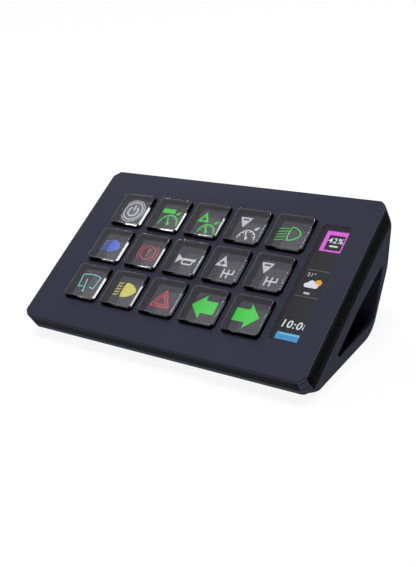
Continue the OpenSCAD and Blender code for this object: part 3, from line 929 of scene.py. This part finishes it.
@dataclass
class KeyPicture:
    """Pictures on the screen under the keys, generic signs of a car's controls."""

    keys: KeyField
    depth: float = SCREEN_TOP
    shift: Point = (-2.8, 1.8)

    def sheet(self, row: int, column: int) -> Drawing:
        """A blank drawing under one key.

        Args:
            row, column: the key.

        Returns:
            The drawing.
        """
        x, y = self.keys.centre(row, column)
        return Drawing((x + self.shift[0], y + self.shift[1]), self.depth)

    def power(self) -> None:
        """Rings and the broken circle of a start button."""
        hub = (-0.6, 0.3)
        self.sheet(1, 1).disc(hub, 5.6, 48).solid("picture_power_disc", Paint.DIM, 0.02)
        d = self.sheet(1, 1).arc(hub, 5.6, 0.3).arc(hub, 4.5, 0.5)
        d.arc((-0.6, 0.1), 2.4, 0.7, 125, 290).line((-0.6, 0.7), (-0.6, 3.4), 0.7)
        d.solid("picture_power", Paint.WHITE, 0.04)

    def gauge(self, d: Drawing, at: Point, radius: float) -> Drawing:
        """Adds a speed gauge with its needle, and an arrow that points at it.

        Args:
            d: the drawing.
            at: centre of the dial.
            radius: radius of the dial.

        Returns:
            The drawing.
        """
        x, y = at
        top = y + radius
        d.arc(at, radius - 0.3, 0.48, -8, 196)
        for k in range(6):
            a = math.radians(18 + 28.8 * k)
            way = (math.cos(a), math.sin(a))
            d.line((x + (radius - 1.3) * way[0], y + (radius - 1.3) * way[1]),
                   (x + (radius - 0.4) * way[0], y + (radius - 0.4) * way[1]), 0.42)
        d.line((x + 0.1, y + 0.2), (x - 1.3, y + radius * 0.7), 0.55).disc((x + 0.15, y), 0.7, 16)
        d.fill([(x + 1.9, top + 0.1), (x + 2.3, top + 1.5), (x + 3.5, top + 0.3)])
        return d.line((x + 2.6, top + 0.7), (x + 3.7, top + 1.7), 0.75)

    def triangle(self, d: Drawing, at: Point, up: bool) -> Drawing:
        """Adds a filled triangle with a plus or a minus left open in it.

        Args:
            d: the drawing.
            at: middle of the triangle's box.
            up: whether it points up, with a plus, or down, with a minus.

        Returns:
            The drawing.
        """
        x, y = at
        way = 1 if up else -1

        def part(*points: Point) -> None:
            """Fills one part, mirrored where the triangle points down."""
            d.fill([(x + px, y + way * py) for px, py in points])

        if up:
            bar, reach = 0.36, 1.1
            low, high = -1.42, -0.7
            part((-2.75, -2.5), (-1.43, -0.1), (-reach, high), (-reach, low), (-bar, low),
                 (-bar, -2.1), (0, -2.1), (0, -2.5))
            part((2.75, -2.5), (0, -2.5), (0, -2.1), (bar, -2.1), (bar, low), (reach, low),
                 (reach, high), (1.43, -0.1))
            part((-1.43, -0.1), (0, 2.5), (0, 0.1), (-bar, 0.1), (-bar, high), (-reach, high))
            part((1.43, -0.1), (reach, high), (bar, high), (bar, 0.1), (0, 0.1), (0, 2.5))
        else:
            low, high, reach = -1.8, -1.05, 1.35
            part((-2.75, -2.5), (-2.34, low), (2.34, low), (2.75, -2.5))
            part((-2.04, high), (0, 2.5), (2.04, high))
            part((-2.34, low), (-2.04, high), (-reach, high), (-reach, low))
            part((2.34, low), (reach, low), (reach, high), (2.04, high))
        return d

    def cruise(self) -> None:
        """Speed gauges under a bar, a plus and a minus."""
        d = self.sheet(1, 2)
        d.fill([(-4.7, 1.8), (1.5, 1.8), (1.5, 4.0), (-4.7, 4.0)])
        self.gauge(d, (0.75, -3.6), 4.8).solid("picture_cruise_set", Paint.GREEN)
        for column, at, way, paint in ((3, (-2.1, 2.5), "up", Paint.GREEN),
                                       (4, (-2.15, 2.6), "down", Paint.WHITE)):
            d = self.triangle(self.sheet(1, column), at, way == "up")
            self.gauge(d, (1.65, -4.75), 4.1).solid(f"picture_cruise_{way}", paint)

    def lamp(self, x: float, y: float, width: float, height: float) -> list[Point]:
        """Outline of a headlamp, its flat side at the left.

        Args:
            x: its flat side.
            y: its middle.
            width, height: size of the lamp.

        Returns:
            The corners.
        """
        half = height / 2
        shape = ((0.06, 1), (0.32, 0.97), (0.62, 0.76), (0.86, 0.42), (1, 0), (0.86, -0.42),
                 (0.62, -0.76), (0.32, -0.97), (0.06, -1), (0.0, -0.55), (-0.02, 0), (0.0, 0.55))
        return [(x + a * width, y + b * half) for a, b in shape]

    def lamps(self) -> None:
        """Low beam, high beam and fog lamp."""
        d = self.sheet(1, 5).path(self.lamp(-0.3, 0.4, 5.1, 6.2), 0.5, True)
        for k in range(5):
            y = 2.9 - 1.35 * k
            d.line((-5.3, y - 0.9), (-0.9 - 0.1 * k, y), 0.3)
        d.solid("picture_low_beam", Paint.GREEN)
        d = self.sheet(2, 1).fill(self.lamp(-1.7, 0.2, 5.8, 6.4))
        for k in range(5):
            y = 2.5 - 1.15 * k
            d.line((-5.2, y), (-2.2, y), 0.4)
        d.solid("picture_high_beam", Paint.BLUE)
        d = self.sheet(3, 2).fill(self.lamp(-1.4, 0.05, 6.7, 6.9))
        for k in range(5):
            y = 2.7 - 1.35 * k
            d.path([(-4.6, y - 0.3), (-4.0, y + 0.3), (-3.3, y - 0.2), (-2.5, y + 0.4)], 0.36)
        d.solid("picture_fog_lamp", Paint.YELLOW)

    def brake(self) -> None:
        """Ring of a brake sign with side arcs."""
        hub = (0.1, 0)
        d = self.sheet(2, 2).arc(hub, 3.35, 0.55)
        d.arc(hub, 4.75, 0.45, -48, 96).arc(hub, 4.75, 0.45, 132, 96)
        d.line((0.1, -0.4), (0.1, 2.0), 0.75).disc((0.1, -1.5), 0.45, 16)
        d.solid("picture_brake", Paint.RED)

    def horn(self) -> None:
        """Side view of a horn."""
        d = self.sheet(2, 3)
        d.fill([(-4.2, 2.1), (-4.2, -2.2), (-2.0, -0.5), (-2.0, 0.5)])
        d.fill([(-2.0, 0.5), (-2.0, -0.5), (4.3, -0.5), (4.3, 0.5)])
        d.path([(-1.1, 0), (-1.1, -1.7), (-0.7, -2.2), (3.1, -2.2), (3.6, -1.7), (3.6, 0)], 0.6)
        d.fill([(4.3, 0.9), (4.3, -0.9), (4.75, -0.9), (4.75, 0.9)])
        d.solid("picture_horn", Paint.WHITE)

    def gears(self) -> None:
        """Gate of a gear lever under a plus and under a minus."""
        x, y, reach, rise = 2.35, -3.0, 2.2, 1.9
        for column, up in ((4, True), (5, False)):
            d = self.triangle(self.sheet(2, column), (-2.15, 2.4), up)
            d.line((x - reach, y), (x + reach, y), 0.6)
            for k in (-1, 0, 1):
                low = y if k == 1 else y - rise
                d.line((x + reach * k, low - 0.3), (x + reach * k, y + rise), 0.6)
            d.solid(f"picture_gear_{'up' if up else 'down'}", Paint.WHITE)

    def wiper(self) -> None:
        """Windscreen with its wiper."""
        d = self.sheet(3, 1)
        d.path([(-5.3, 3.2), (-3.1, 3.75), (-0.6, 3.95), (1.9, 3.75), (4.1, 3.2), (3.4, -2.6),
                (1.3, -2.1)], 0.45)
        d.path([(-5.3, 3.2), (-4.6, -2.6), (-2.4, -2.1)], 0.45)
        d.line((-1.0, -4.1), (-2.1, 1.5), 0.6).disc((-1.0, -4.2), 0.6, 16)
        d.solid("picture_wiper", Paint.TEAL)

    def hazard(self) -> None:
        """Nested warning triangles."""
        d = self.sheet(3, 3)
        for size, width in ((5.0, 0.75), (2.9, 0.55)):
            d.path([(size * math.cos(math.radians(a)), size * math.sin(math.radians(a)) - 1.4)
                    for a in (90, 210, 330)], width, True)
        d.solid("picture_hazard", Paint.RED)

    def arrows(self) -> None:
        """Direction arrows."""
        shape = ((5.3, 0), (0.2, 5.2), (0.2, 2.75), (-5.3, 2.75), (-5.3, -2.75), (0.2, -2.75),
                 (0.2, -5.2))
        for column, way, name in ((4, -1, "left"), (5, 1, "right")):
            d = self.sheet(3, column).fill([(way * x, y) for x, y in shape])
            d.solid(f"picture_turn_{name}", Paint.GREEN)

    def build(self) -> None:
        """Draws the fifteen pictures."""
        for draw in (self.power, self.cruise, self.lamps, self.brake, self.horn, self.gears,
                     self.wiper, self.hazard, self.arrows):
            draw()


# ---------------------------------------------------------------- info strip


@dataclass
class InfoStrip:
    """Picture behind the narrow window: a load gauge, the weather and a clock over a plain bar."""

    centre: Point = (50.6, 39.6)
    depth: float = SCREEN_TOP
    shift: Point = (-1.2, 0.9)

    def sheet(self) -> Drawing:
        """A blank drawing behind the window."""
        return Drawing((self.centre[0] + self.shift[0], self.centre[1] + self.shift[1]), self.depth)

    def gauge(self) -> None:
        """Square gauge frame with a plain number."""
        d = self.sheet()
        left, right, low, high = -4.2, 4.5, 15.5, 25.1
        outer = [(left, low), (left, high), (right, high), (right, low)]
        left, right, low, high = left + 1.6, right - 0.6, low + 0.7, high - 2.0
        inner = [(left, low), (left, high), (right, high), (right, low)]
        for k in range(4):
            after = (k + 1) % 4
            d.fill([outer[k], inner[k], inner[after], outer[after]])
        d.solid("strip_gauge", Paint.MAGENTA)
        d = self.sheet().text("42%", (0.7, 20.6), 3.3, 0.05).line((-1.0, 18.1), (2.4, 18.1), 0.7)
        d.solid("strip_gauge_number", Paint.CLOUD)

    def weather(self) -> None:
        """Framed weather box."""
        d = self.sheet()
        d.path([(-5.5, 6.6), (4.6, 6.6), (4.6, -5.1), (-5.5, -5.1)], 0.2, True)
        d.solid("strip_weather_frame", Paint.LINE)
        d = self.sheet().text("21\N{DEGREE SIGN}", (-2.2, 4.4), 2.2)
        d.line((-2.0, -3.6), (0.4, -3.6), 0.9)
        d.solid("strip_temperature", Paint.PALE)
        self.sheet().disc((1.8, 1.4), 1.35).solid("strip_sun", Paint.SUN)
        d = self.sheet()
        d.disc((-2.4, -0.1), 1.0).disc((-0.7, 0.7), 1.45).disc((1.3, -0.1), 1.05)
        d.fill([(-2.4, -1.1), (1.3, -1.1), (1.3, 0.2), (-2.4, 0.2)])
        d.solid("strip_cloud", Paint.CLOUD, 0.05)

    def clock(self) -> None:
        """Clock digits over a plain bar."""
        d = self.sheet().text("10:08", (0.5, -17.4), 4.4, 0.12)
        d.clip((-6, -26), (5.8, 26))
        d.solid("strip_clock", Paint.CLOUD)
        d = self.sheet()
        d.fill([(-4.2, -23.8), (5.8, -23.8), (5.8, -20.8), (-4.2, -20.8)]).disc((-4.2, -22.3), 1.5)
        d.solid("strip_bar", Paint.SKY)
        d = self.sheet().line((-3.6, -21.35), (4.4, -21.35), 0.5)
        d.solid("strip_bar_gleam", Paint.GLEAM, 0.04)

    def build(self) -> None:
        """Draws the strip's picture."""
        self.gauge()
        self.weather()
        self.clock()


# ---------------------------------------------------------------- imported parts


@dataclass
class PackedParts:
    """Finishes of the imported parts, apart from the caps."""

    paints: dict[str, Paint] = field(default_factory=lambda: {
        "front_panel": Paint.PANEL, "rear_housing": Paint.HOUSING, "mid_frame": Paint.BAND,
        "strip_window": Paint.LENS, "key_mat": Paint.SILICONE, "key_board": Paint.BOARD,
        "display_panel": Paint.SCREEN, "display_tray": Paint.TRAY, "display_flex": Paint.RIBBON,
        "key_flex": Paint.RIBBON, "main_board": Paint.BOARD, "main_chips": Paint.CHIP,
        "flex_sockets": Paint.SOCKET, "usb_socket": Paint.INLET, "board_screws": Paint.STEEL,
        "housing_screws": Paint.STEEL, "base_pad": Paint.PAD})

    def dress(self) -> None:
        """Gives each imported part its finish."""
        for name, paint in self.paints.items():
            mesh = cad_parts[name].data
            mesh.materials.clear()
            mesh.materials.append(paint.material())
            log.info("%s: %s", name, paint.value.name)


# ---------------------------------------------------------------- round corners


@dataclass
class RoundCorners:
    """The slab's parts with round corners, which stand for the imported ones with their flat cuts."""

    half_width: float = 65.25
    radius: float = 4.6
    past: float = 1.0
    low: float = -12.0
    high: float = 1.0
    steps: int = 8

    def cutter(self) -> bpy.types.Object:
        """Builds the four blocks that are cut away.

        Returns:
            The blocks, as one object.
        """
        bm = bmesh.new()
        for side in (-1, 1):
            for end, way in ((0, 1), (FACE.height, -1)):
                turns = [math.radians(90 * k / self.steps) for k in range(self.steps + 1)]
                arc = [(self.radius * (1 - math.sin(a)), self.radius * (1 - math.cos(a)))
                       for a in turns]
                outside = [(-self.past, self.radius), (-self.past, -self.past),
                           (self.radius, -self.past)]
                corners = [bm.verts.new((side * (self.half_width - x), end + way * y, self.low))
                           for x, y in arc + outside]
                raise_face(bm, bm.faces.new(corners), self.high - self.low)
        bmesh.ops.recalc_face_normals(bm, faces=bm.faces)
        bm.transform(FACE.matrix())
        return add("corner_cutter", mesh_of("corner_cutter", bm))

    def part(self, name: str, node: str, paint: Paint, cutter: bpy.types.Object) -> None:
        """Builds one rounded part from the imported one's mesh.

        Args:
            name: name of the piece.
            node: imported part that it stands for.
            paint: its finish.
            cutter: blocks to cut away.
        """
        made = add(name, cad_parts[node].data.copy())
        cut = made.modifiers.new("round_corners", "BOOLEAN")
        cut.operation, cut.solver, cut.object = "DIFFERENCE", "EXACT", cutter
        bpy.context.view_layer.update()
        shape = made.evaluated_get(bpy.context.evaluated_depsgraph_get())
        made.data = bpy.data.meshes.new_from_object(shape)
        made.modifiers.clear()
        made.data.name = name
        made.data.materials.clear()
        made.data.materials.append(paint.material())
        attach(made, "housing")
        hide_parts(node)
        log.info("%s: %d faces, corners of %.1f mm", name, len(made.data.polygons), self.radius)

    def build(self) -> None:
        """Builds the three parts."""
        cutter = self.cutter()
        self.part("slab_panel", "front_panel", Paint.PANEL, cutter)
        self.part("slab_band", "mid_frame", Paint.BAND, cutter)
        self.part("slab_stand", "rear_housing", Paint.HOUSING, cutter)
        bpy.data.objects.remove(cutter)


# ---------------------------------------------------------------- studio


def turn_to(made: bpy.types.Object, way: Vector) -> None:
    """Turns a lamp's back to a direction."""
    made.rotation_mode = "QUATERNION"
    made.rotation_quaternion = way.to_track_quat("Z", "Y")


@dataclass
class Softbox:
    """A square lamp that faces the keypad."""

    name: str
    way: tuple[float, float, float]
    distance: float
    size: float
    radiance: float
    aim: float = 0.02

    def build(self) -> None:
        """Adds the lamp."""
        data = bpy.data.lights.new(self.name, "AREA")
        data.shape, data.size = "SQUARE", self.size
        data.energy = self.radiance * math.pi * self.size ** 2
        lamp = add(self.name, data)
        way = Vector(self.way).normalized()
        lamp.location = way * self.distance + Vector((0, 0, self.aim))
        turn_to(lamp, way)


@dataclass
class Studio:
    """Camera, pale floor, lamps and the faint light of the room."""

    eye: tuple[float, float, float] = (0.193, -0.2409, 0.1658)
    right: tuple[float, float, float] = (0.8158, 0.5643, -0.1269)
    up: tuple[float, float, float] = (-0.1569, 0.4268, 0.8906)
    lens: float = 55.65
    room: float = 0.03
    reach: float = 6.0
    pale: Colour = (0.12, 0.12, 0.12)
    floor_glow: float = 0.9
    backdrop_glow: float = 1.0
    boxes: tuple[Softbox, ...] = (
        Softbox("back_left_box", (-0.573, 0.064, 0.818), 0.8, 0.62, 0.9),
        Softbox("upper_left_box", (-0.62, 0.42, 0.66), 0.42, 0.1, 14.0))
    sun_way: tuple[float, float, float] = (-0.05, 0.1, 1)
    sun_energy: float = 2.2
    sun_spread: float = 25.0

    def camera(self) -> None:
        """Adds the camera."""
        data = bpy.data.cameras.new("camera")
        data.sensor_width, data.lens = 36, self.lens
        data.clip_start, data.clip_end = 0.01, 50
        cam = add("camera", data)
        right, up = Vector(self.right).normalized(), Vector(self.up).normalized()
        back = right.cross(up).normalized()
        up = back.cross(right)
        turn = Matrix((right, up, back)).transposed().to_4x4()
        cam.matrix_world = Matrix.Translation(self.eye) @ turn
        bpy.context.scene.camera = cam

    def ground(self, name: str, bm: bmesh.types.BMesh, glow: float) -> bpy.types.Object:
        """Adds a pale, softly lit piece of the stage.

        Args:
            name: name of the piece.
            bm: its mesh, which is freed.
            glow: strength of its own light.

        Returns:
            The new object.
        """
        mesh = mesh_of(name, bm)
        s = Shader(f"pale_{name}", self.pale, 0.6)
        s.tint(s.noise(6, 2), 0.99, 1.01)
        s.set(Specular_IOR_Level=0, Emission_Color=(1, 1, 1, 1), Emission_Strength=glow)
        mesh.materials.append(s.material)
        made = add(name, mesh)
        return made

    def floor(self) -> None:
        """Adds the pale floor and a backdrop that the camera sees and that lights nothing."""
        bm = bmesh.new()
        bmesh.ops.create_grid(bm, x_segments=1, y_segments=1, size=self.reach)
        self.ground("floor", bm, self.floor_glow)
        bm = bmesh.new()
        bmesh.ops.create_uvsphere(bm, u_segments=64, v_segments=32, radius=self.reach)
        backdrop = self.ground("backdrop", bm, self.backdrop_glow)
        backdrop.active_material.cycles.emission_sampling = "NONE"
        backdrop.visible_diffuse = backdrop.visible_glossy = backdrop.visible_shadow = False
        backdrop.visible_transmission = backdrop.visible_volume_scatter = False

    def light(self) -> None:
        """Adds the lamps and the room's light."""
        for box in self.boxes:
            box.build()
        sun = bpy.data.lights.new("overhead", "SUN")
        sun.energy, sun.angle = self.sun_energy, math.radians(self.sun_spread)
        turn_to(add("overhead", sun), Vector(self.sun_way))
        world = bpy.data.worlds.new("room")
        world.use_nodes = True
        back = world.node_tree.nodes["Background"]
        back.inputs["Color"].default_value = (1, 1, 1, 1)
        back.inputs["Strength"].default_value = self.room
        bpy.context.scene.world = world

    def build(self) -> None:
        """Sets the studio up."""
        bpy.context.scene.view_settings.view_transform = "Standard"
        bpy.context.scene.cycles.caustics_refractive = False
        bpy.context.scene.cycles.caustics_reflective = False
        self.camera()
        self.floor()
        self.light()


def main() -> None:
    """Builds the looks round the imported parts."""
    logging.basicConfig(level=logging.INFO, format="%(name)s: %(message)s")
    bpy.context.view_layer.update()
    Studio().build()
    PackedParts().dress()
    RoundCorners().build()
    keys = KeyField()
    for row, column in keys.each():
        KeyCap(row, column, keys).build()
    KeyPicture(keys).build()
    InfoStrip().build()


if __name__ == "__main__":
    main()
